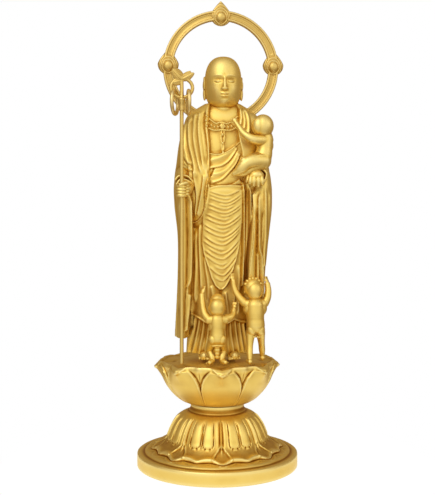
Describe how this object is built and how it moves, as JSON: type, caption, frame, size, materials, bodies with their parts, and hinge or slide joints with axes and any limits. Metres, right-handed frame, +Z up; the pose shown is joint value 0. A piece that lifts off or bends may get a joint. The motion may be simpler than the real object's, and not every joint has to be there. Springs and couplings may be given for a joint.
{
  "type": "bronze jizo statue",
  "caption": "Gilded bronze standing Jizo on a lotus pedestal, with ring halo, ringed staff, an infant on the arm and small children at the feet.",
  "frame": {"origin": "centre of the plinth's flat underside", "axes": "+Z up along the pedestal's axis, the figure faces -Y, its staff hand is on the -X side"},
  "size_m": [0.0816, 0.0815, 0.2412],
  "materials": {
    "gilt_stand": "satin gilt over cast bronze",
    "gilt_figure": "satin gilt over cast bronze",
    "gilt_fittings": "satin gilt over bronze"
  },
  "bodies": {
    "root": {"plinth_with_turned_down_lotus": "gilt_stand", "lotus_seat": "gilt_stand", "jizo_figure": "gilt_figure", "kneeling_child": "gilt_figure", "reaching_child": "gilt_figure", "halo_ring": "gilt_fittings", "ring_staff": "gilt_fittings", "staff_ring_outer": "gilt_fittings", "staff_ring_inner": "gilt_fittings"}
  },
  "joints": []
}
